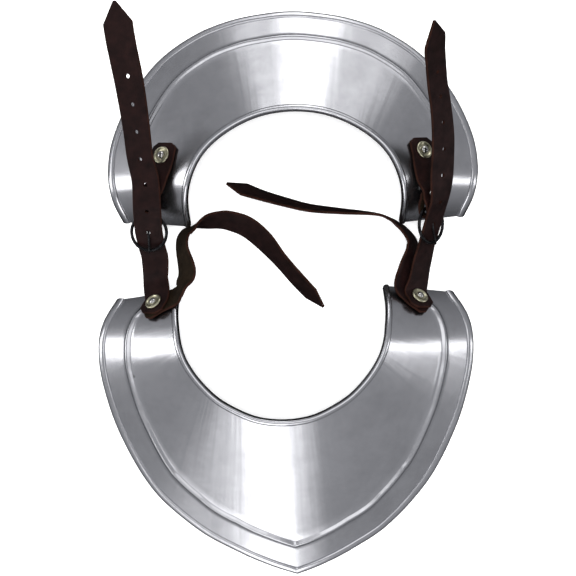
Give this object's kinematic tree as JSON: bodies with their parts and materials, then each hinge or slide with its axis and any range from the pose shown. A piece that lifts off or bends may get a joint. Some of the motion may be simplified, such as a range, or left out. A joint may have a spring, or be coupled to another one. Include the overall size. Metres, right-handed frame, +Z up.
{
  "type": "gorget",
  "caption": "Neck armour of a pointed front plate and a rounded back plate, joined at the shoulders by buckled leather straps, with two loose tie straps",
  "frame": {"origin": "middle of the footprint, at table level", "axes": "+Y from the pointed front plate to the back plate, +Z up, +X to the right when seen from above with the back plate at the top"},
  "size_m": [0.324, 0.4924, 0.1334],
  "materials": {
    "steel": "polished sheet with fine brushing",
    "leather": "dark brown dyed strap leather",
    "blackened": "blackened wire",
    "brass": "pale plated washers"
  },
  "bodies": {
    "root": {"front_plate": "steel", "back_plate": "steel", "left_fold_rivet": "steel", "left_long_strap": "leather", "left_short_strap": "leather", "left_tie_strap": "leather", "left_ring": "blackened", "left_prong": "blackened", "front_left_washer": "brass", "front_left_rivet": "steel", "back_left_washer": "brass", "back_left_rivet": "steel", "right_fold_rivet": "steel", "right_long_strap": "leather", "right_short_strap": "leather", "right_tie_strap": "leather", "right_ring": "blackened", "right_prong": "blackened", "front_right_washer": "brass", "front_right_rivet": "steel", "back_right_washer": "brass", "back_right_rivet": "steel"}
  },
  "joints": []
}
